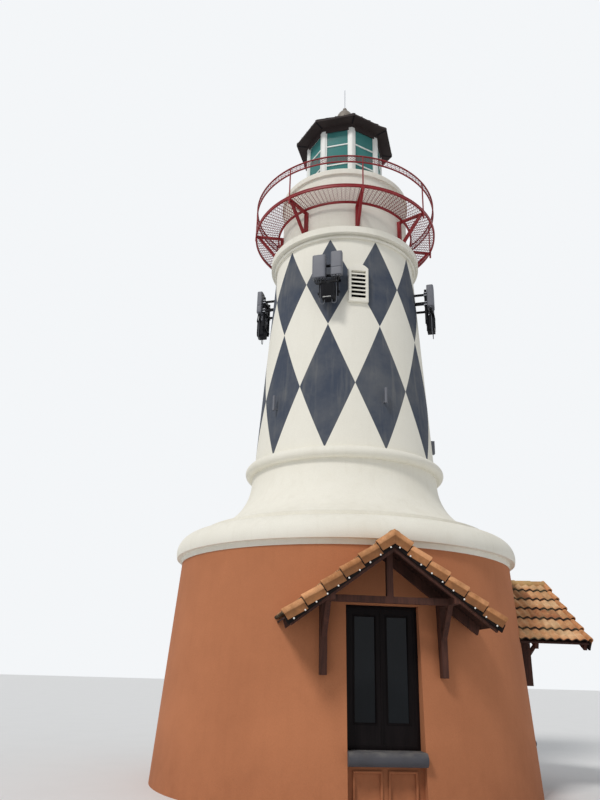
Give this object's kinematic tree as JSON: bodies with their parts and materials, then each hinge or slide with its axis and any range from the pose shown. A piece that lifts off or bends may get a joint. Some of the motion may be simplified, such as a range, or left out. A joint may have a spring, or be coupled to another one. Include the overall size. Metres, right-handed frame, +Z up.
{
  "type": "lighthouse",
  "caption": "Round diamond-patterned lighthouse tower on a flared skirt, with gabled window canopies, a red steel gallery and an octagonal lantern.",
  "frame": {"origin": "centre of the tower at ground level, on the underside of the ground floor", "axes": "+Z up along the tower's axis; -Y is the front, with the vent and a canopied window; +X is the right side, with a second canopied window; -X is the plain side"},
  "size_m": [9.32, 9.92, 19.93],
  "materials": {
    "stucco_brown": "matt painted stucco",
    "stucco_white": "matt painted stucco with slate diamonds on the shaft",
    "concrete": "trowelled",
    "stone": "honed",
    "red_steel": "gloss paint",
    "white_frame": "satin paint",
    "charcoal_metal": "satin paint",
    "lantern_glass": "tinted",
    "window_glass": "dark, polished",
    "dark_frame": "satin paint",
    "timber": "dark stain",
    "clay_tile": "fired clay",
    "grey_plastic": "weathered",
    "black_metal": "satin paint",
    "steel": "dull",
    "rubber": "matt"
  },
  "bodies": {
    "root": {"ground_floor": "concrete", "base_wall_front": "stucco_brown", "base_wall_right": "stucco_brown", "base_wall_back": "stucco_brown", "base_wall_left": "stucco_brown", "skirt_front": "stucco_white", "skirt_back": "stucco_white", "torus_moulding": "stucco_white", "shaft_front": "stucco_white", "shaft_right": "stucco_white", "shaft_back": "stucco_white", "shaft_left": "stucco_white", "upper_cornice": "stucco_white", "drum_front": "stucco_white", "drum_back": "stucco_white", "drum_cap": "stucco_white", "lantern_posts": "white_frame", "lantern_sashes": "white_frame", "lantern_glass": "lantern_glass", "lantern_header": "charcoal_metal", "lantern_roof": "charcoal_metal", "roof_dome": "charcoal_metal", "lightning_rod": "steel", "gallery_brackets": "red_steel", "gallery_inner_ring": "red_steel", "gallery_outer_ring": "red_steel", "gallery_floor": "red_steel", "gallery_posts": "red_steel", "gallery_top_rail": "red_steel", "gallery_second_rail": "red_steel", "gallery_rail_mesh": "red_steel", "window_frames": "dark_frame", "window_glass": "window_glass", "window_sills": "stone", "window_aprons": "stucco_brown", "canopy_timber": "timber", "canopy_decks": "timber", "canopy_barges": "timber", "canopy_tiles": "clay_tile", "louvre_vent": "stucco_white", "antenna_panels": "grey_plastic", "antenna_mounts": "black_metal", "antenna_leads": "rubber", "small_antennas": "grey_plastic"}
  },
  "joints": []
}
